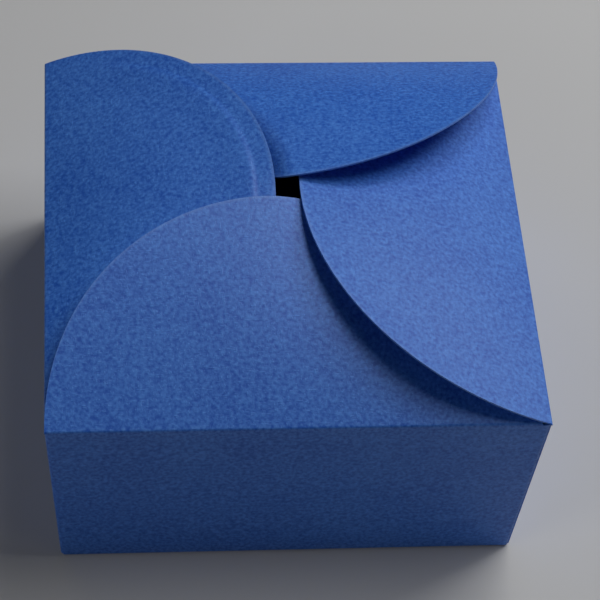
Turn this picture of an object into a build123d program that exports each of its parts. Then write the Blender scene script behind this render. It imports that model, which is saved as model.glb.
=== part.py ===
"""Petal top box: one sheet of card, cut, creased, folded up and closed by four interlocking petals.

The blank is a square base with a wall on each side. Each wall carries a half-round petal at its
rim and, at one end, a glue tab that is bonded inside the next wall. The petals fold inwards and
close as a pinwheel: each one covers the petal before it and dips under the petal after it.

Millimetres, +Z up, origin at the centre of the base's underside.
"""
import os
from dataclasses import dataclass
from math import atan, cos, pi, sin, sqrt

from build123d import *

# Sizes of the folded box
top_width = 100.0  # square rim, from the outer face of a wall to the opposite one
base_width = 95.0  # square base, so that the walls stand out a little towards the rim
rim_height = 48.0  # from the table to the crest of the petal creases

# Sizes of the card and its folds
card = 0.35  # thickness
fold_inner = 0.3  # inside radius of the upright and petal folds
base_fold_inner = 0.75  # inside radius of the folds round the base

# Sizes of the glue tabs, which lie inside the walls
tab_width = 12.0  # from the upright fold to the tab's free edge
tab_gap = 0.6  # from the top of the tab to the petal crease
tab_slant = 4.0  # how much shorter the free edge is at each end

# How the petals close
petal_clearance = 0.25  # air between a petal and the one that covers it
tip_clearance = 0.5  # what is added to that air at the petal's tip
relief = 2.0  # crease that is cut away at the covered end of each petal
arch = 4.0  # how softly a petal turns down under its cover, at mid reach
tip_arch = 0.6  # the same at the tip
swell = 5.0  # how full a petal is over its middle, where it bulges by about a quarter of this

# Fineness of the curved petals
stations = 15  # cross sections along the crease
overrun = 0.3  # how far they run past the crease at each end
rises = 12  # points from the crease to the tip in each cross section
grading = 1.4  # how much closer those points lie near the crease

fold_outer = fold_inner + card
base_fold_outer = base_fold_inner + card
half_top = top_width / 2
half_base = base_width / 2
wall_top = rim_height - fold_outer
taper = (half_top - half_base) / wall_top
over = 1.0  # how far a cutting shape runs past the card
sides = 4


@dataclass(frozen=True)
class Bow:
    """How one petal rises: its slope at the crease, its slope at the tip, and its twist."""

    crease_slope: float
    tip_slope: float
    twist: float


# Anticlockwise from above: front, right, back, left. Each petal is covered by the next one in
# the row. The box is closed by hand, so no two of them rise quite alike.
bows = [
    Bow(crease_slope=0.40, tip_slope=0.24, twist=0.06),
    Bow(crease_slope=0.37, tip_slope=0.26, twist=0.06),
    Bow(crease_slope=0.50, tip_slope=0.155, twist=0.14),
    Bow(crease_slope=0.44, tip_slope=0.24, twist=0.06),
]


def free_height(bow, u, v):
    """Rise of a petal that nothing covers, u along the crease and v in from it."""
    bend = (bow.tip_slope - bow.crease_slope) / (2 * half_top)
    middle = max(1 - ((u - half_top) ** 2 + v**2) / half_top**2, 0)
    full = swell * v / half_top * middle**2
    return bow.crease_slope * v + bend * v**2 + bow.twist * v * (1 - u / half_top) + full


def closed_height(side, u, v):
    """Rise of a petal in the closed box, where its cover presses it down with a soft arch."""
    own = free_height(bows[side], u, v)
    share = min(max(v / half_top, 0), 1)
    air = petal_clearance + tip_clearance * share**3
    cover = free_height(bows[(side + 1) % sides], v, top_width - u) - card - air
    soft = 4 * arch * share * (1 - share) + tip_arch * share
    return (own + cover - sqrt((own - cover) ** 2 + soft**2)) / 2


def reach(bow):
    """How far in from the rim the tip of a half-round petal lands once the petal slopes up."""
    slopes = (bow.crease_slope, (bow.crease_slope + bow.tip_slope) / 2, bow.tip_slope)
    start, middle, end = (cos(atan(slope)) for slope in slopes)
    return half_top * (start + 4 * middle + end) / 6


def petal_section(side, u):
    """Closed outline of the card across a petal's fold and rise, at one place on its crease."""
    near = fold_outer / 2
    slope = (closed_height(side, u, fold_outer) - closed_height(side, u, near)) / near
    turn = atan(slope)
    crest = fold_outer * (1 - sin(turn))
    datum = fold_outer * cos(turn) - closed_height(side, u, crest)
    outer = [(crest, fold_outer * cos(turn))]
    inner = [(fold_outer - fold_inner * sin(turn), fold_inner * cos(turn))]
    length = reach(bows[side]) + over - crest
    nudge = 0.1
    shares = [(index / (rises - 1)) ** grading for index in range(rises)]
    for share in shares[1:]:
        v = crest + length * share
        height = closed_height(side, u, v)
        slope = (closed_height(side, u, v + nudge) - height) / nudge
        across = card / sqrt(1 + slope**2)
        outer.append((v, datum + height))
        inner.append((v + across * slope, datum + height - across))
    halfway = (3 * pi / 2 + turn) / 2
    bulge = (fold_outer + fold_outer * cos(halfway), fold_outer * sin(halfway))
    hollow = (fold_outer + fold_inner * cos(halfway), fold_inner * sin(halfway))
    first = (cos(turn), sin(turn))
    last = (1 / sqrt(1 + slope**2), slope / sqrt(1 + slope**2))
    back = [(-last[0], -last[1]), (-first[0], -first[1])]
    edges = [
        Edge.make_three_point_arc((0, 0), bulge, outer[0]),
        Edge.make_spline(outer, tangents=[first, last], parameters=shares),
        Edge.make_line(outer[-1], inner[-1]),
        Edge.make_spline(inner[::-1], tangents=back, parameters=[1 - share for share in shares[::-1]]),
        Edge.make_three_point_arc(inner[0], hollow, (card, 0)),
        Edge.make_line((card, 0), (0, 0)),
    ]
    plane = Plane(origin=(u - half_top, -half_top, wall_top), x_dir=(0, 1, 0), z_dir=(1, 0, 0))
    return Wire([plane.from_local_coords(edge) for edge in edges])


def petal_outline(side):
    """Plan of one petal: half round, with the covered end of its crease cut away."""
    depth = reach(bows[side])
    kept = top_width - relief
    window = Pos(-relief / 2, -half_top + depth / 2) * Rectangle(kept, depth + 2 * over)
    fold_strip = Pos(-relief / 2, -half_top - over / 2) * Rectangle(kept, over)
    half_round = Pos(0, -half_top) * Ellipse(half_top, depth)
    above_crease = Pos(0, -half_top + depth) * Rectangle(2 * top_width, 2 * depth)
    return fold_strip + (half_round & above_crease & window)


def petal(side):
    """One petal with its fold, built at the front and turned to its own side."""
    spread = top_width - relief + 2 * overrun
    places = [spread * index / (stations - 1) - overrun for index in range(stations)]
    blank = Solid.make_loft([petal_section(side, u) for u in places])
    cutter = extrude(Pos(0, 0, wall_top - over) * petal_outline(side), rim_height)
    return Rot(0, 0, 360 / sides * side) * (cutter & blank)


def frustum(low, high, inset):
    """Solid between two heights whose sides lean as the walls do, inset from their outer face."""
    floor = 2 * (half_base + taper * low - inset)
    roof = 2 * (half_base + taper * high - inset)
    plan = Pos(0, 0, low) * Rectangle(floor, floor) + Pos(0, 0, high) * Rectangle(roof, roof)
    return loft(plan.faces(), ruled=True)


def leaning(section, low, high):
    """Stretch a flat section of the front left corner along that corner's leaning edge."""
    corner = half_base + taper * low
    face = (Pos(-corner, -corner, low) * section).faces()[0]
    rise = high - low
    return Solid.extrude(face, (-taper * rise, -taper * rise, rise))


def corner_fold():
    """Card of the upright fold, which fills the corner of the cavity from base to rim."""
    low = card / 2
    span_x, span_y = fold_outer - low, card + fold_outer - low
    block = Pos(low + span_x / 2, low + span_y / 2) * Rectangle(span_x, span_y)
    hollow = Pos(fold_outer, card + fold_outer) * Circle(fold_inner)
    root = 2 * card - low
    tab_root = Pos(fold_outer, low + root / 2) * Rectangle(2 * root, root)
    return leaning(block - hollow + tab_root, low, wall_top)


def corner_cut():
    """What is cut off a sharp corner to leave the round fold and the next wall's cut edge."""
    span_x, span_y = fold_outer + over, card + fold_outer + over
    block = Pos(span_x / 2 - over, span_y / 2 - over) * Rectangle(span_x, span_y)
    fold = Pos(fold_outer, card + fold_outer) * Circle(fold_outer)
    return leaning(block - fold, -over, wall_top + over)


def glue_tab():
    """Tab that comes round the front left corner and is bonded inside the front wall."""

    def at(along, z):
        side = half_base + taper * z
        return (-side + along, -side + card / 2, z)

    low, high = base_fold_outer, wall_top - tab_gap
    outline = [
        at(card / 2, low),
        at(tab_width, low + tab_slant),
        at(tab_width, high - tab_slant),
        at(card / 2, high),
    ]
    return Solid.extrude(Face(Wire.make_polygon(outline)), (0, card * 1.5, 0))


def tray():
    """Base and walls with their folds, open at the rim, with the tabs bonded inside."""
    outside = frustum(0, wall_top, 0)
    outside = fillet(outside.edges().group_by(Axis.Z)[0], base_fold_outer)
    inside = frustum(card, wall_top + over, card)
    inside = fillet(inside.edges().group_by(Axis.Z)[0], base_fold_inner)
    turns = [Rot(0, 0, 360 / sides * side) for side in range(sides)]
    folds = [turn * (outside & corner_fold()) for turn in turns]
    tabs = [turn * glue_tab() for turn in turns]
    cuts = [turn * corner_cut() for turn in turns]
    return outside - inside + folds + tabs - cuts


def folded_card_box():
    """The whole closed box, one piece of card."""
    return tray() + [petal(side) for side in range(sides)]


os.makedirs("parts", exist_ok=True)
export_step(folded_card_box(), "parts/folded_card_box.step")
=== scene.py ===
"""Looks of a petal top box: one sheet of matt blue card, folded up and closed by four petals.

The sheet is drawn as four like panels. Each panel is a quarter of the base, a wall, the petal at
its rim and the glue tab at its right end. A node tree bows the petals by the rule that closes the
box. The panels are then joined into one skin, and the skin gets the thickness of the card.

Metres, +Z up, origin at the centre of the base's underside. The front wall faces -Y.
"""

import logging
from dataclasses import dataclass, field
from enum import Enum
from math import atan, cos, pi, radians, sin, sqrt, tan

import bmesh
import bpy
from mathutils import Matrix, Vector


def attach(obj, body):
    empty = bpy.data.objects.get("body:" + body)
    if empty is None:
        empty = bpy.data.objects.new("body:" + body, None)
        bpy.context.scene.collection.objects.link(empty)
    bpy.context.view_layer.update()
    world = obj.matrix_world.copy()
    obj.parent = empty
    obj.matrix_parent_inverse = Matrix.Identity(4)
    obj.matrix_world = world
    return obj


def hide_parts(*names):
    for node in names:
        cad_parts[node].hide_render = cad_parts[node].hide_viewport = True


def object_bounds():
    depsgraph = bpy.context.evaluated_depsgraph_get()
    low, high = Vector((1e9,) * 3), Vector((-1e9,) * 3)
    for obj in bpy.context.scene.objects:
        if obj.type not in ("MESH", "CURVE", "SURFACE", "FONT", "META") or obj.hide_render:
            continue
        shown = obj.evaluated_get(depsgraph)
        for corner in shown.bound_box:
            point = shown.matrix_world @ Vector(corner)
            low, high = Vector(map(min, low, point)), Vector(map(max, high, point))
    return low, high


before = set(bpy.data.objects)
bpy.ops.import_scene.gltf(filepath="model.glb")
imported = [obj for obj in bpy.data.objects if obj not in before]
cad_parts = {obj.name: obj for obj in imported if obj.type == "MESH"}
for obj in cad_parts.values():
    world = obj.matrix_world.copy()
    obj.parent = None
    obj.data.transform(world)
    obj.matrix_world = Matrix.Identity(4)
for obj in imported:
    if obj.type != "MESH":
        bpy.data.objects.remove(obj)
CAD_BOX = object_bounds()
NODE = "folded_card_box"
LOG = logging.getLogger(NODE)
MM = 0.001
PHOTO_WIDTH = 600  # pixels

# Points of a panel from one end of the sheet to the other, each with its named numbers
Column = list[tuple[Vector, dict[str, float]]]


class Side(Enum):
    """Sides of the box, valued by the quarter turns that bring the front panel there."""

    FRONT = 0
    RIGHT = 1
    BACK = 2
    LEFT = 3

    @property
    def cover(self) -> "Side":
        """The side whose petal lies on this one's."""
        return Side((self.value + 1) % len(Side))

    @property
    def turn(self) -> Matrix:
        """Turn that brings a front panel to this side."""
        return Matrix.Rotation(self.value * pi / 2, 4, "Z")


@dataclass(frozen=True)
class Bow:
    """How a petal rises: its slope at the crease, its slope at the tip, and its twist."""

    crease_slope: float
    tip_slope: float
    twist: float

    def depth(self, half_top: float) -> float:
        """How far in from the rim the petal's tip lands.

        Args:
            half_top: Half the width of the rim, the radius of the petal in the flat.

        Returns:
            The plan distance from the rim to the tip.
        """
        slopes = (self.crease_slope, (self.crease_slope + self.tip_slope) / 2, self.tip_slope)
        start, middle, end = (cos(atan(slope)) for slope in slopes)
        return half_top * (start + 4 * middle + end) / 6


# The box is closed by hand, so no two petals rise quite alike
BOWS = {
    Side.FRONT: Bow(0.40, 0.24, 0.06),
    Side.RIGHT: Bow(0.37, 0.26, 0.06),
    Side.BACK: Bow(0.50, 0.155, 0.14),
    Side.LEFT: Bow(0.44, 0.24, 0.06),
}


@dataclass(frozen=True)
class Card:
    """The sheet and the radii of its folds."""

    thickness: float = 0.35 * MM
    fold_inner: float = 0.30 * MM  # inside radius of the upright and petal folds
    base_fold_inner: float = 0.75 * MM  # inside radius of the folds round the base
    glue: float = 0.02 * MM  # between a tab and its wall

    @property
    def fold(self) -> float:
        """Outside radius of the upright and petal folds."""
        return self.fold_inner + self.thickness

    @property
    def base_fold(self) -> float:
        """Outside radius of the folds round the base."""
        return self.base_fold_inner + self.thickness


@dataclass(frozen=True)
class Field:
    """A number that a node tree works out, with arithmetic that adds the nodes it needs."""

    tree: bpy.types.NodeTree
    socket: bpy.types.NodeSocket

    def math(self, operation: str, *others: "Field | float") -> "Field":
        """Add a Math node.

        Args:
            operation: Name of the node's operation.
            others: What the node takes after this field.

        Returns:
            The node's result.
        """
        node = self.tree.nodes.new("ShaderNodeMath")
        node.operation = operation
        for slot, value in zip(node.inputs, (self, *others)):
            if isinstance(value, Field):
                self.tree.links.new(value.socket, slot)
            else:
                slot.default_value = value
        return Field(self.tree, node.outputs[0])

    def __add__(self, other: "Field | float") -> "Field":
        """Sum."""
        return self.math("ADD", other)

    def __sub__(self, other: "Field | float") -> "Field":
        """Difference."""
        return self.math("SUBTRACT", other)

    def __mul__(self, other: "Field | float") -> "Field":
        """Product."""
        return self.math("MULTIPLY", other)

    def __truediv__(self, other: "Field | float") -> "Field":
        """Quotient."""
        return self.math("DIVIDE", other)

    def __neg__(self) -> "Field":
        """Opposite."""
        return self.math("MULTIPLY", -1.0)

    def __rsub__(self, other: float) -> "Field":
        """Difference from a plain number."""
        return -self + other

    def root(self) -> "Field":
        """Square root."""
        return self.math("SQRT")

    def square(self) -> "Field":
        """Product with itself."""
        return self * self

    def limit(self, low: float, high: float) -> "Field":
        """Keep between two numbers."""
        return self.math("MAXIMUM", low).math("MINIMUM", high)

    def ramp(self, start: float, end: float) -> "Field":
        """Smooth step, 0 at start and 1 at end."""
        share = ((self - start) / (end - start)).limit(0.0, 1.0)
        return share * share * (3.0 - share * 2.0)

    def pick(self, yes: "Field", no: "Field") -> "Field":
        """One field where this one is 1, another where it is 0."""
        return self * yes + (1.0 - self) * no


@dataclass
class PetalTree:
    """Node tree that bows the petal of a panel by the rule that closes the box.

    Each point of the petal carries its place across the crease and three shares that say how far
    it lies round the fold, over the open petal and over the rim strip along its cut edge.
    """

    card: Card
    material: bpy.types.Material
    tree: bpy.types.NodeTree = field(init=False)
    inputs: dict[str, Field] = field(init=False, default_factory=dict)

    SIZES = (
        "Half top", "Wall top", "Fold radius", "Card", "Clearance", "Tip clearance", "Arch",
        "Tip arch", "Swell", "Rim strip", "Short end", "Depth", "Crease slope", "Tip slope",
        "Twist", "Cover crease slope", "Cover tip slope", "Cover twist", "Step", "Step inset",
        "Step width",
    )
    STEP_START = (0.15, 0.45)  # shares of the petal's reach over which the low step comes up
    STEP_END = (1.0, 1.3)  # half widths along the crease over which it fades under the cover
    STEP_BACK = 11.0  # step widths over which the card sinks back to its own height

    def __post_init__(self) -> None:
        """Build the tree."""
        self.tree = bpy.data.node_groups.new("bowed_petal", "GeometryNodeTree")
        sockets = self.tree.interface
        sockets.new_socket("Geometry", in_out="INPUT", socket_type="NodeSocketGeometry")
        for name in self.SIZES:
            sockets.new_socket(name, in_out="INPUT", socket_type="NodeSocketFloat")
        sockets.new_socket("Geometry", in_out="OUTPUT", socket_type="NodeSocketGeometry")
        group = self.tree.nodes.new("NodeGroupInput")
        self.inputs = {name: Field(self.tree, group.outputs[name]) for name in self.SIZES}
        place = self.tree.nodes.new("GeometryNodeSetPosition")
        realize = self.tree.nodes.new("GeometryNodeRealizeInstances")
        dress = self.tree.nodes.new("GeometryNodeSetMaterial")
        dress.inputs["Material"].default_value = self.material
        out = self.tree.nodes.new("NodeGroupOutput")
        link = self.tree.links.new
        link(group.outputs["Geometry"], place.inputs["Geometry"])
        link(self.attribute("petal").socket, place.inputs["Selection"])
        link(self.position(), place.inputs["Position"])
        link(place.outputs["Geometry"], realize.inputs["Geometry"])
        link(realize.outputs["Geometry"], dress.inputs["Geometry"])
        link(dress.outputs["Geometry"], out.inputs["Geometry"])

    def attribute(self, name: str) -> Field:
        """Read a named number that each point carries.

        Args:
            name: The number's name.

        Returns:
            The number.
        """
        node = self.tree.nodes.new("GeometryNodeInputNamedAttribute")
        node.data_type = "FLOAT"
        node.inputs["Name"].default_value = name
        return Field(self.tree, next(slot for slot in node.outputs if slot.enabled))

    def free_height(self, u: Field, v: Field, whose: str = "") -> Field:
        """Rise of a petal that nothing covers.

        Args:
            u: Place along the petal's crease.
            v: Place in from the crease.
            whose: Empty for the petal itself, or "Cover " for the one that lies on it.

        Returns:
            The rise above the crease.
        """
        half = self.inputs["Half top"]
        names = [f"{whose}{name}".capitalize() for name in ("crease slope", "tip slope", "twist")]
        crease_slope, tip_slope, twist = (self.inputs[name] for name in names)
        bend = (tip_slope - crease_slope) / (half * 2.0)
        middle = (1.0 - ((u - half).square() + v.square()) / half.square()).math("MAXIMUM", 0.0)
        full = self.inputs["Swell"] * v / half * middle.square()
        return crease_slope * v + bend * v * v + twist * v * (1.0 - u / half) + full

    def closed_height(self, u: Field, v: Field) -> Field:
        """Rise of the petal in the closed box, where its cover presses it down.

        Args:
            u: Place along the petal's crease.
            v: Place in from the crease.

        Returns:
            The rise above the crease.
        """
        size = self.inputs
        own = self.free_height(u, v)
        share = (v / size["Half top"]).limit(0.0, 1.0)
        air = size["Clearance"] + size["Tip clearance"] * share * share * share
        under = self.free_height(v, size["Half top"] * 2.0 - u, "Cover ")
        cover = under - size["Card"] - air
        soft = size["Arch"] * share * (1.0 - share) * 4.0 + size["Tip arch"] * share
        return (own + cover - ((own - cover).square() + soft.square()).root()) * 0.5

    def step(self, u: Field, v: Field) -> Field:
        """Low step down towards the cut edge, which runs round a petal a little way in from it.

        Args:
            u: Place along the petal's crease.
            v: Place in from the crease.

        Returns:
            How far the step lifts the card there.
        """
        size = self.inputs
        half = size["Half top"]
        radius = ((u - half).square() + (v * half / size["Depth"]).square()).root()
        inward = (half - radius - size["Step inset"]) / size["Step width"]
        profile = inward.ramp(-1.0, 1.0) * (1.0 - inward.ramp(1.0, self.STEP_BACK))
        faded = (v / half).ramp(*self.STEP_START) * (1.0 - (u / half).ramp(*self.STEP_END))
        return size["Step"] * faded * profile

    def position(self) -> bpy.types.NodeSocket:
        """Work out where a petal's point lies, from its attributes and the tree's sizes.

        Returns:
            The socket of the place.
        """
        size = self.inputs
        half, radius = size["Half top"], size["Fold radius"]
        u = self.attribute("across")
        near = radius * 0.5
        slope = (self.closed_height(u, radius) - self.closed_height(u, near)) / near
        turn = slope.math("ARCTANGENT")
        crest = radius * (1.0 - turn.math("SINE"))
        datum = radius * turn.math("COSINE") - self.closed_height(u, crest)
        edge = size["Depth"] * (1.0 - (u / half - 1.0).square()).limit(0.0, 1.0).root()
        fold_end = crest * (edge / size["Short end"]).limit(0.0, 1.0)
        sweep = (1.0 - fold_end / radius).math("ARCCOSINE") * self.attribute("round_fold")
        stop = (edge - size["Rim strip"]).math("MAXIMUM", fold_end)
        in_fold = radius * (1.0 - sweep.math("COSINE"))
        over_open = (stop - fold_end) * self.attribute("over_open")
        v = in_fold + over_open + (edge - stop) * self.attribute("over_rim")
        arc = (radius.square() - (radius - v).square()).math("MAXIMUM", 0.0).root()
        rise = v.math("LESS_THAN", crest).pick(arc, datum + self.closed_height(u, v))
        combine = self.tree.nodes.new("ShaderNodeCombineXYZ")
        places = (u - half, v - half, size["Wall top"] + rise + self.step(u, v))
        for slot, value in zip(combine.inputs, places):
            self.tree.links.new(value.socket, slot)
        return combine.outputs[0]

    def bow(self, panel: bpy.types.Object, sizes: dict[str, float]) -> bpy.types.Mesh:
        """Run the tree on a panel.

        Args:
            panel: The panel, with its petal still flat.
            sizes: A value for each of the tree's inputs.

        Returns:
            The panel's mesh with its petal in place.
        """
        modifier = panel.modifiers.new("bowed_petal", "NODES")
        modifier.node_group = self.tree
        for item in self.tree.interface.items_tree:
            if item.name in sizes:
                modifier[item.identifier] = sizes[item.name]
        graph = bpy.context.evaluated_depsgraph_get()
        mesh = bpy.data.meshes.new_from_object(panel.evaluated_get(graph), depsgraph=graph)
        panel.modifiers.remove(modifier)
        return mesh


@dataclass
class Panel:
    """One quarter of the blank: a share of the base, a wall, its petal and its glue tab."""

    card: Card
    half_top: float
    half_base: float
    rim_height: float
    tab_width: float = 12.0 * MM
    tab_gap: float = 0.6 * MM  # from the top of the tab to the petal crease
    tab_slant: float = 4.0 * MM  # how much shorter the tab's free edge is at each end
    relief: float = 2.0 * MM  # crease that is cut away at the petal's covered end
    corner_gap: float = 0.05 * MM  # how far the upright fold stops short of the next petal
    pressed: bool = False  # whether the edge of the petal above presses a dent in this one
    press_fade: float = 3.0  # how soon the dent comes in from the crease
    columns: int = 112
    relief_columns: int = 3
    base_rows: int = 8
    base_fold_rows: int = 8
    wall_rows: int = 14
    corner_columns: int = 8
    tab_columns: int = 4
    fold_rows: int = 7
    open_rows: int = 28
    open_grading: float = 1.2  # how much closer those rows lie near the crease
    rim_rows: int = 16
    points: list[Vector] = field(init=False, default_factory=list)
    faces: list[tuple[int, ...]] = field(init=False, default_factory=list)
    numbers: dict[str, list[float]] = field(init=False, default_factory=dict)

    NUMBERS = ("petal", "across", "round_fold", "over_open", "over_rim", "crease", "pressed")

    @property
    def wall_top(self) -> float:
        """Height where the wall ends and the petal's fold starts."""
        return self.rim_height - self.card.fold

    @property
    def taper(self) -> float:
        """How far the wall leans out for each metre of height."""
        return (self.half_top - self.half_base) / self.wall_top

    def add_grid(self, grid: list[Column]) -> None:
        """Add a grid of points and the faces between them.

        Args:
            grid: Columns from left to right, each a list of points with their numbers.
        """
        start = len(self.points)
        rows = len(grid[0])
        for column in grid:
            for place, numbers in column:
                self.points.append(place)
                for name in self.NUMBERS:
                    self.numbers.setdefault(name, []).append(numbers.get(name, 0.0))
        for left in range(len(grid) - 1):
            for low in range(rows - 1):
                corner = start + left * rows + low
                self.faces.append((corner, corner + rows, corner + rows + 1, corner + 1))

    def crease_places(self) -> list[float]:
        """Set out the petal's columns, close together at its corners.

        Returns:
            Their places along the crease.
        """
        even = [self.half_top * (1 - cos(pi * i / self.columns)) for i in range(self.columns + 1)]
        end = 2 * self.half_top - self.relief
        spare = 0.05 * MM
        kept = [u for u in even if u < end - spare and abs(u - self.card.fold) > spare]
        return sorted(kept + [self.card.fold, end])

    def levels(self) -> list[tuple[float, float, float, float]]:
        """Rows of the base, its fold and the wall.

        Returns:
            For each row its distance out from the centre, its height, how far the upright
            corner has opened, and its nearness to a crease.
        """
        radius = self.card.base_fold
        turn = pi / 2 - atan(self.taper)
        tangent = radius * tan(turn / 2)
        flat = self.half_base - tangent
        rows = [(flat * i / self.base_rows, 0.0, 0.0, 0.0) for i in range(self.base_rows + 1)]
        for i in range(1, self.base_fold_rows + 1):
            angle = turn * i / self.base_fold_rows
            out = flat + radius * sin(angle)
            rows.append((out, radius * (1 - cos(angle)), i / self.base_fold_rows, 1.0))
        foot = rows[-1][1]
        for i in range(1, self.wall_rows + 1):
            share = i / self.wall_rows
            height = foot + (self.wall_top - foot) * share
            near = 1.0 if i == self.wall_rows else 0.0
            rows.append((self.half_base + self.taper * height, height, 1.0, near))
        return rows

    def wall_grid(self) -> list[Column]:
        """Lay out the base, the wall and the upright fold.

        Returns:
            The columns from the left cut edge to the root of the tab.
        """
        fold = self.card.fold
        setback = self.card.thickness + self.card.glue + fold
        left, right = fold, 2 * self.half_top - setback
        end = 2 * self.half_top - self.relief
        shared = [u for u in self.crease_places() if u >= left]
        last = self.relief_columns
        plain = shared + [end + (right - end) * i / last for i in range(1, last + 1)]
        levels = self.levels()
        grid = []
        for u in plain:
            share = (u - left) / (right - left)
            column = []
            for out, height, opened, crease in levels:
                start = -out + fold * opened
                stop = out - setback * opened
                place = Vector((start + (stop - start) * share, -out, height))
                column.append((place, {"crease": crease}))
            grid.append(column)
        for i in range(1, self.corner_columns + 1):
            angle = pi / 2 * i / self.corner_columns
            column = []
            for row, (out, height, opened, crease) in enumerate(levels):
                reach = fold * opened
                x = out - setback * opened + reach * sin(angle)
                y = -out + reach - reach * cos(angle)
                drop = self.corner_gap if row == len(levels) - 1 else 0.0
                column.append((Vector((x, y, height - drop)), {"crease": 1.0}))
            grid.append(column)
        return grid

    def tab_grid(self, root: Column) -> list[Column]:
        """Glue tab, which lies against the inside of the next wall.

        Args:
            root: Last column of the upright fold.

        Returns:
            The tab's columns, the root among them.
        """
        rows = root[-self.wall_rows - 1:]
        inset = self.card.thickness + self.card.glue
        grid = [rows]
        for i in range(1, self.tab_columns + 1):
            share = i / self.tab_columns
            low = self.card.base_fold + self.tab_slant * share
            high = self.wall_top - self.tab_gap - self.tab_slant * share
            column = []
            for row in range(len(rows)):
                height = low + (high - low) * row / (len(rows) - 1)
                out = self.half_base + self.taper * height
                x = out - inset
                y = -out + self.card.fold + (self.tab_width - self.card.fold) * share
                column.append((Vector((x, y, height)), {}))
            grid.append(column)
        return grid

    def petal_grid(self) -> list[Column]:
        """Lay out the petal in the flat.

        Returns:
            Its columns, with the shares that the node tree reads.
        """
        shares = [(i / self.fold_rows, 0.0, 0.0) for i in range(self.fold_rows + 1)]
        for i in range(1, self.open_rows + 1):
            shares.append((1.0, (i / self.open_rows) ** self.open_grading, 0.0))
        shares += [(1.0, 1.0, i / self.rim_rows) for i in range(1, self.rim_rows + 1)]
        grid = []
        for u in self.crease_places():
            column = []
            for round_fold, over_open, over_rim in shares:
                numbers = {
                    "petal": 1.0,
                    "across": u,
                    "round_fold": round_fold,
                    "over_open": over_open,
                    "over_rim": over_rim,
                    "crease": 0.0 if over_open > 0 else 1.0,
                    "pressed": min(over_open * self.press_fade, 1.0) if self.pressed else 0.0,
                }
                flat = Vector((u - self.half_top, -self.half_top, self.wall_top))
                column.append((flat, numbers))
            grid.append(column)
        return grid

    def build(self, name: str) -> bpy.types.Object:
        """Make the panel with its petal still flat.

        Args:
            name: Name of the panel's object.

        Returns:
            The object, with a named number on its points for each share.
        """
        wall = self.wall_grid()
        self.add_grid(wall)
        self.add_grid(self.tab_grid(wall[-1]))
        self.add_grid(self.petal_grid())
        mesh = bpy.data.meshes.new(name)
        mesh.from_pydata(self.points, [], self.faces)
        for number in self.NUMBERS:
            layer = mesh.attributes.new(number, "FLOAT", "POINT")
            layer.data.foreach_set("value", self.numbers[number])
        panel = bpy.data.objects.new(name, mesh)
        bpy.context.scene.collection.objects.link(panel)
        return panel


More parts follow.
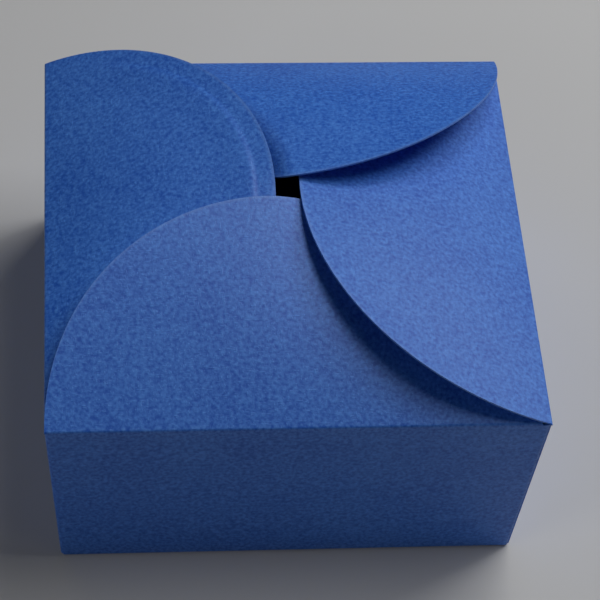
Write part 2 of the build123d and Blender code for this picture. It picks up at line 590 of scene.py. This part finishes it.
@dataclass
class FoldedBox:
    """The whole closed box, one sheet of card."""

    card: Card
    face: bpy.types.Material
    cut_edge: bpy.types.Material
    top_width: float
    base_width: float = 95.0 * MM
    rim_height: float = 48.0 * MM
    petal_clearance: float = 0.25 * MM  # air between a petal and the one that covers it
    tip_clearance: float = 0.5 * MM  # what is added to that air at the petal's tip
    arch: float = 4.0 * MM  # how softly a petal turns down under its cover, at mid reach
    tip_arch: float = 0.6 * MM  # the same at the tip
    swell: float = 5.0 * MM  # how full a petal is over its middle
    rim_strip: float = 6.0 * MM  # strip of finer rows along a petal's cut edge
    short_end: float = 3.0 * MM  # reach below which the petal's fold tapers off
    step: float = 0.27 * MM  # low step near the cut edge of the left petal
    step_inset: float = 4.35 * MM
    step_width: float = 0.75 * MM
    weld: float = 0.002 * MM  # gap that still closes when the panels are joined

    def sizes(self, side: Side, panel: Panel) -> dict[str, float]:
        """Values of the petal tree's inputs.

        Args:
            side: Side that the petal is on.
            panel: Panel that the petal belongs to.

        Returns:
            A value for each input.
        """
        own, cover = BOWS[side], BOWS[side.cover]
        return {
            "Half top": panel.half_top,
            "Wall top": panel.wall_top,
            "Fold radius": self.card.fold,
            "Card": self.card.thickness,
            "Clearance": self.petal_clearance,
            "Tip clearance": self.tip_clearance,
            "Arch": self.arch,
            "Tip arch": self.tip_arch,
            "Swell": self.swell,
            "Rim strip": self.rim_strip,
            "Short end": self.short_end,
            "Depth": own.depth(panel.half_top),
            "Crease slope": own.crease_slope,
            "Tip slope": own.tip_slope,
            "Twist": own.twist,
            "Cover crease slope": cover.crease_slope,
            "Cover tip slope": cover.tip_slope,
            "Cover twist": cover.twist,
            "Step": self.step if side is Side.LEFT else 0.0,
            "Step inset": self.step_inset,
            "Step width": self.step_width,
        }

    def skin(self) -> bmesh.types.BMesh:
        """Make the outer face of the card.

        Returns:
            Four bowed panels, welded where they meet on the base.
        """
        tree = PetalTree(self.card, self.face)
        sheet = bmesh.new()
        for side in Side:
            panel = Panel(self.card, self.top_width / 2, self.base_width / 2, self.rim_height,
                          pressed=side is Side.BACK)
            flat = panel.build(f"{side.name.lower()}_panel")
            mesh = tree.bow(flat, self.sizes(side, panel))
            mesh.transform(side.turn)
            sheet.from_mesh(mesh)
            bpy.data.objects.remove(flat)
            LOG.info("bowed the %s petal", side.name.lower())
        bmesh.ops.remove_doubles(sheet, verts=sheet.verts, dist=self.weld)
        bmesh.ops.dissolve_degenerate(sheet, edges=sheet.edges, dist=self.weld / 4)
        return sheet

    def thicken(self, sheet: bmesh.types.BMesh) -> None:
        """Give the skin the card's thickness, inwards, and close it with its cut edges.

        Args:
            sheet: The skin, which becomes the whole sheet.
        """
        sheet.normal_update()
        skin = list(sheet.faces)
        rims = [(edge.link_loops[0], edge) for edge in sheet.edges if edge.is_boundary]
        inner = {}
        for point in list(sheet.verts):
            place = point.co - point.normal * self.card.thickness
            inner[point] = sheet.verts.new(place, point)
        for face in skin:
            face.smooth = True
            back = sheet.faces.new([inner[point] for point in reversed(face.verts)])
            back.smooth = True
        for loop, edge in rims:
            start, end = loop.vert, loop.link_loop_next.vert
            rim = sheet.faces.new((end, start, inner[start], inner[end]))
            rim.material_index = 1
            rim.smooth = True
            edge.smooth = False
            sheet.edges.get((inner[start], inner[end])).smooth = False

    def build(self) -> bpy.types.Object:
        """Make the box and fasten it to the frame.

        Returns:
            The box's object.
        """
        sheet = self.skin()
        self.thicken(sheet)
        mesh = bpy.data.meshes.new("petal_box")
        sheet.to_mesh(mesh)
        sheet.free()
        mesh.materials.clear()
        mesh.materials.append(self.face)
        mesh.materials.append(self.cut_edge)
        box = bpy.data.objects.new("petal_box", mesh)
        bpy.context.scene.collection.objects.link(box)
        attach(box, "root")
        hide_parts(NODE)
        return box


@dataclass(frozen=True)
class CardFinish:
    """Matt uncoated card, dyed right through, with a mottled fibre grain and a painted highlight
    along the petals' cut edges.
    """

    name: str
    deep: tuple[float, float, float] = (0.003, 0.088, 0.505)  # where the mottle is darkest
    pale: tuple[float, float, float] = (0.070, 0.258, 0.800)  # where it is lightest
    wear_and_edge_highlight: tuple[float, float, float] = (0.170, 0.330, 0.760)  # bare fibres on the folds, and the painted highlight along a petal's cut edge
    roughness: float = 0.52
    specular: float = 0.55
    grain: float = 1300.0  # grains in a metre
    blotch: float = 55.0  # blotches in a metre
    fibre: float = 700.0  # fibres side by side in a metre
    fibre_length: float = 5.0  # how many times longer than wide
    fibre_span: tuple[float, float] = (0.60, 0.75)  # noise that shows as a fibre
    grain_share: float = 1.7  # how much the grain adds to the mottle
    blotch_share: float = 0.4
    fibre_share: float = 0.30
    mottle: float = 0.42  # mottle where there is no fibre, on the whole
    bump: float = 0.5
    relief: float = 0.06 * MM  # height of the grain
    fibre_relief: float = 0.6  # height of the fibres, as a share of the grain's
    wear: float = 0.35  # how much bare fibre shows on the folds
    wear_start: float = 0.35  # grain below which a fold isn't worn
    edge_highlight: float = 0.32  # painted highlight: how much lighter the card is at a petal's cut edge, where the edge catches the light
    edge_start: float = 0.84  # share of the rim strip where that begins
    half_top: float = 50.0 * MM
    press: float = 2.0 * MM  # dent in the back petal along the edge of the left one
    press_width: float = 5.0 * MM

    NOISE_MEAN = 0.5

    def noise(self, tree: bpy.types.NodeTree, where: bpy.types.NodeSocket, scale: float,
              detail: float) -> Field:
        """Add a noise texture.

        Args:
            tree: The material's tree.
            where: Coordinates to read it at.
            scale: Features in a metre.
            detail: Octaves.

        Returns:
            Its height, about 0.5 on the whole.
        """
        node = tree.nodes.new("ShaderNodeTexNoise")
        node.inputs["Scale"].default_value = scale
        node.inputs["Detail"].default_value = detail
        tree.links.new(where, node.inputs["Vector"])
        return Field(tree, node.outputs[0])

    def stretched(self, tree: bpy.types.NodeTree, where: bpy.types.NodeSocket,
                  scale: tuple[float, float, float]) -> bpy.types.NodeSocket:
        """Stretch coordinates.

        Args:
            tree: The material's tree.
            where: Coordinates to stretch.
            scale: Factor for each axis.

        Returns:
            The stretched coordinates' socket.
        """
        node = tree.nodes.new("ShaderNodeMapping")
        node.inputs["Scale"].default_value = scale
        tree.links.new(where, node.inputs["Vector"])
        return node.outputs[0]

    def blend(self, tree: bpy.types.NodeTree, share: Field,
              low: tuple[float, float, float] | bpy.types.NodeSocket,
              high: tuple[float, float, float] | bpy.types.NodeSocket) -> bpy.types.NodeSocket:
        """Mix two colours.

        Args:
            tree: The material's tree.
            share: How much of the second colour.
            low: First colour, a tuple or a socket.
            high: Second colour, a tuple or a socket.

        Returns:
            The mixed colour's socket.
        """
        node = tree.nodes.new("ShaderNodeMix")
        node.data_type = "RGBA"
        tree.links.new(share.socket, node.inputs[0])
        for slot, value in ((node.inputs[6], low), (node.inputs[7], high)):
            if isinstance(value, tuple):
                slot.default_value = (*value, 1.0)
            else:
                tree.links.new(value, slot)
        return node.outputs[2]

    def number(self, tree: bpy.types.NodeTree, name: str) -> Field:
        """Read a named number that each point of the card carries.

        Args:
            tree: The material's tree.
            name: The number's name.

        Returns:
            The number.
        """
        node = tree.nodes.new("ShaderNodeAttribute")
        node.attribute_name = name
        return Field(tree, node.outputs["Fac"])

    def dent(self, tree: bpy.types.NodeTree, where: bpy.types.NodeSocket) -> Field:
        """Work out the dent that the left petal's edge presses in the back petal.

        Args:
            tree: The material's tree.
            where: Place on the card.

        Returns:
            Share of the dent's full depth.
        """
        split = tree.nodes.new("ShaderNodeSeparateXYZ")
        tree.links.new(where, split.inputs[0])
        x, y = Field(tree, split.outputs[0]), Field(tree, split.outputs[1])
        depth = BOWS[Side.LEFT].depth(self.half_top)
        radius = (((x + self.half_top) / depth).square() + (y / self.half_top).square()).root()
        beyond = (radius - 1.0) * self.half_top
        near = (1.0 - beyond / self.press_width).limit(0.0, 1.0)
        return near.square() * self.number(tree, "pressed")

    def bump_node(self, tree: bpy.types.NodeTree, height: Field, strength: float,
                  distance: float) -> bpy.types.Node:
        """Add a Bump node.

        Args:
            tree: The material's tree.
            height: Relief to follow, of about 1.
            strength: How much of the relief shows.
            distance: Height that a relief of 1 stands for.

        Returns:
            The node.
        """
        node = tree.nodes.new("ShaderNodeBump")
        node.inputs["Strength"].default_value = strength
        node.inputs["Distance"].default_value = distance
        tree.links.new(height.socket, node.inputs["Height"])
        return node

    def material(self) -> bpy.types.Material:
        """Make the material.

        Returns:
            The material.
        """
        made = bpy.data.materials.new(self.name)
        made.use_nodes = True
        tree = made.node_tree
        shader = tree.nodes["Principled BSDF"]
        where = tree.nodes.new("ShaderNodeTexCoord").outputs["Object"]
        grain = self.noise(tree, where, self.grain, 1.0)
        blotch = self.noise(tree, where, self.blotch, 2.0)
        slim = self.fibre_length
        along = self.noise(tree, self.stretched(tree, where, (1.0, slim, slim)), self.fibre, 1.0)
        across = self.noise(tree, self.stretched(tree, where, (slim, 1.0, slim)), self.fibre, 1.0)
        fibres = along.ramp(*self.fibre_span) + across.ramp(*self.fibre_span)
        grained = (grain - self.NOISE_MEAN) * self.grain_share
        blotched = (blotch - self.NOISE_MEAN) * self.blotch_share
        share = grained + blotched + fibres * self.fibre_share + self.mottle
        colour = self.blend(tree, share.limit(0.0, 1.0), self.deep, self.pale)
        bare = (grain - self.wear_start).limit(0.0, 1.0)
        wear_and_edge_highlight = self.number(tree, "crease") * bare * self.wear
        # Painted highlight: the last rows by a petal's cut edge are lighter, where the edge
        # catches the light
        wear_and_edge_highlight += self.number(tree, "over_rim").ramp(self.edge_start, 1.0) * self.edge_highlight
        colour = self.blend(tree, wear_and_edge_highlight.limit(0.0, 1.0), colour, self.wear_and_edge_highlight)
        tree.links.new(colour, shader.inputs["Base Color"])
        shader.inputs["Roughness"].default_value = self.roughness
        shader.inputs["Specular IOR Level"].default_value = self.specular
        pressed = self.bump_node(tree, -self.dent(tree, where), 1.0, self.press)
        raised = grain + fibres * self.fibre_relief
        rough = self.bump_node(tree, raised, self.bump, self.relief)
        tree.links.new(pressed.outputs["Normal"], rough.inputs["Normal"])
        tree.links.new(rough.outputs["Normal"], shader.inputs["Normal"])
        return made


@dataclass(frozen=True)
class FloorFinish:
    """Plain pale floor."""

    colour: tuple[float, float, float] = (0.62, 0.62, 0.62)
    roughness: float = 0.8

    def material(self) -> bpy.types.Material:
        """Make the material.

        Returns:
            The material.
        """
        made = bpy.data.materials.new("pale_floor")
        made.use_nodes = True
        shader = made.node_tree.nodes["Principled BSDF"]
        shader.inputs["Base Color"].default_value = (*self.colour, 1.0)
        shader.inputs["Roughness"].default_value = self.roughness
        return made


@dataclass(frozen=True)
class Softbox:
    """A square white soft light that looks at the box, with its angles in degrees."""

    name: str
    azimuth: float
    elevation: float
    power: float
    distance: float = 0.7
    size: float = 0.25

    def build(self, aim: Vector) -> bpy.types.Object:
        """Make the light.

        Args:
            aim: Point that it looks at.

        Returns:
            The light's object.
        """
        light = bpy.data.lights.new(self.name, "AREA")
        light.shape = "SQUARE"
        light.size = self.size
        light.energy = self.power
        lamp = bpy.data.objects.new(self.name, light)
        turn, lift = radians(self.azimuth), radians(self.elevation)
        away = Vector((cos(lift) * cos(turn), cos(lift) * sin(turn), sin(lift)))
        lamp.location = aim + away * self.distance
        lamp.rotation_euler = away.to_track_quat("Z", "Y").to_euler()
        bpy.context.scene.collection.objects.link(lamp)
        return lamp


@dataclass
class Studio:
    """Floor and lights. Azimuth is measured from +X towards +Y."""

    aim: Vector
    floor_half: float = 3.0
    ambient: float = 0.0  # the softboxes alone light the room
    softboxes: tuple[Softbox, ...] = (
        Softbox("window", azimuth=55, elevation=60, power=1.31),
        Softbox("window_low", azimuth=28, elevation=38, power=1.28),
        Softbox("window_right", azimuth=0, elevation=66, power=0.86),
        Softbox("back", azimuth=120, elevation=32, power=0.12),
        Softbox("left", azimuth=-150, elevation=22, power=0.50),
        Softbox("front", azimuth=-40, elevation=10, power=0.16),
    )

    def floor(self) -> bpy.types.Object:
        """Make the floor.

        Returns:
            The floor's object.
        """
        half = self.floor_half
        corners = [(-half, -half, 0), (half, -half, 0), (half, half, 0), (-half, half, 0)]
        mesh = bpy.data.meshes.new("floor")
        mesh.from_pydata(corners, [], [(0, 1, 2, 3)])
        mesh.materials.append(FloorFinish().material())
        floor = bpy.data.objects.new("floor", mesh)
        bpy.context.scene.collection.objects.link(floor)
        return floor

    def build(self) -> None:
        """Make the floor, the lights and the room."""
        self.floor()
        for softbox in self.softboxes:
            softbox.build(self.aim)
        world = bpy.data.worlds.new("room")
        world.use_nodes = True
        world.node_tree.nodes["Background"].inputs["Color"].default_value = (1, 1, 1, 1)
        world.node_tree.nodes["Background"].inputs["Strength"].default_value = self.ambient
        bpy.context.scene.world = world
        bpy.context.scene.view_settings.view_transform = "Standard"


@dataclass(frozen=True)
class PhotoCamera:
    """Camera at the photograph's place, with the photograph's lens and framing.

    Yaw, pitch and roll are in radians. The focal length and the middle of the lens's view are in
    pixels of the photograph.
    """

    yaw: float = -0.1198
    pitch: float = 0.8790
    roll: float = -0.0793
    distance: float = 0.4967
    look_at: tuple[float, float, float] = (-0.0033, -0.0104, 0.048)
    focal_px: float = 2412.6
    centre_px: float = 272.0
    sensor: float = 36.0  # millimetres
    near: float = 0.01  # nearest that the camera sees

    def build(self) -> bpy.types.Object:
        """Make the camera and look through it.

        Returns:
            The camera's object.
        """
        ahead = Vector((-sin(self.yaw) * cos(self.pitch), cos(self.yaw) * cos(self.pitch),
                        -sin(self.pitch)))
        level = Vector((cos(self.yaw), sin(self.yaw), 0.0))
        below = ahead.cross(level)
        right = level * cos(self.roll) + below * sin(self.roll)
        down = level * -sin(self.roll) + below * cos(self.roll)
        view = bpy.data.cameras.new("camera")
        view.sensor_width = self.sensor
        view.lens = self.focal_px / PHOTO_WIDTH * self.sensor
        view.shift_x = (PHOTO_WIDTH / 2 - self.centre_px) / PHOTO_WIDTH
        view.shift_y = -view.shift_x
        view.clip_start = self.near
        camera = bpy.data.objects.new("camera", view)
        place = Vector(self.look_at) - ahead * self.distance
        axes = Matrix((right, -down, -ahead)).transposed().to_4x4()
        camera.matrix_world = Matrix.Translation(place) @ axes
        bpy.context.scene.collection.objects.link(camera)
        bpy.context.scene.camera = camera
        return camera


def main() -> None:
    """Build the camera, the box and the studio, and report each piece."""
    logging.basicConfig(level=logging.INFO, format="%(name)s: %(message)s")
    PhotoCamera().build()
    low, high = (Vector(corner) for corner in CAD_BOX)
    card = Card()
    face = CardFinish("blue_card").material()
    # The cut edge is paler than the face: partly bare cut fibres, partly a painted highlight
    # where the edge catches the light
    cut_edge = CardFinish("blue_card_cut_edge", deep=(0.060, 0.190, 0.560),
                          pale=(0.160, 0.360, 0.900)).material()
    box = FoldedBox(card, face, cut_edge, top_width=high.x - low.x).build()
    LOG.info("%s has %d faces", box.name, len(box.data.polygons))
    Studio(aim=Vector((0.0, 0.0, FoldedBox.rim_height))).build()


if __name__ == "__main__":
    main()
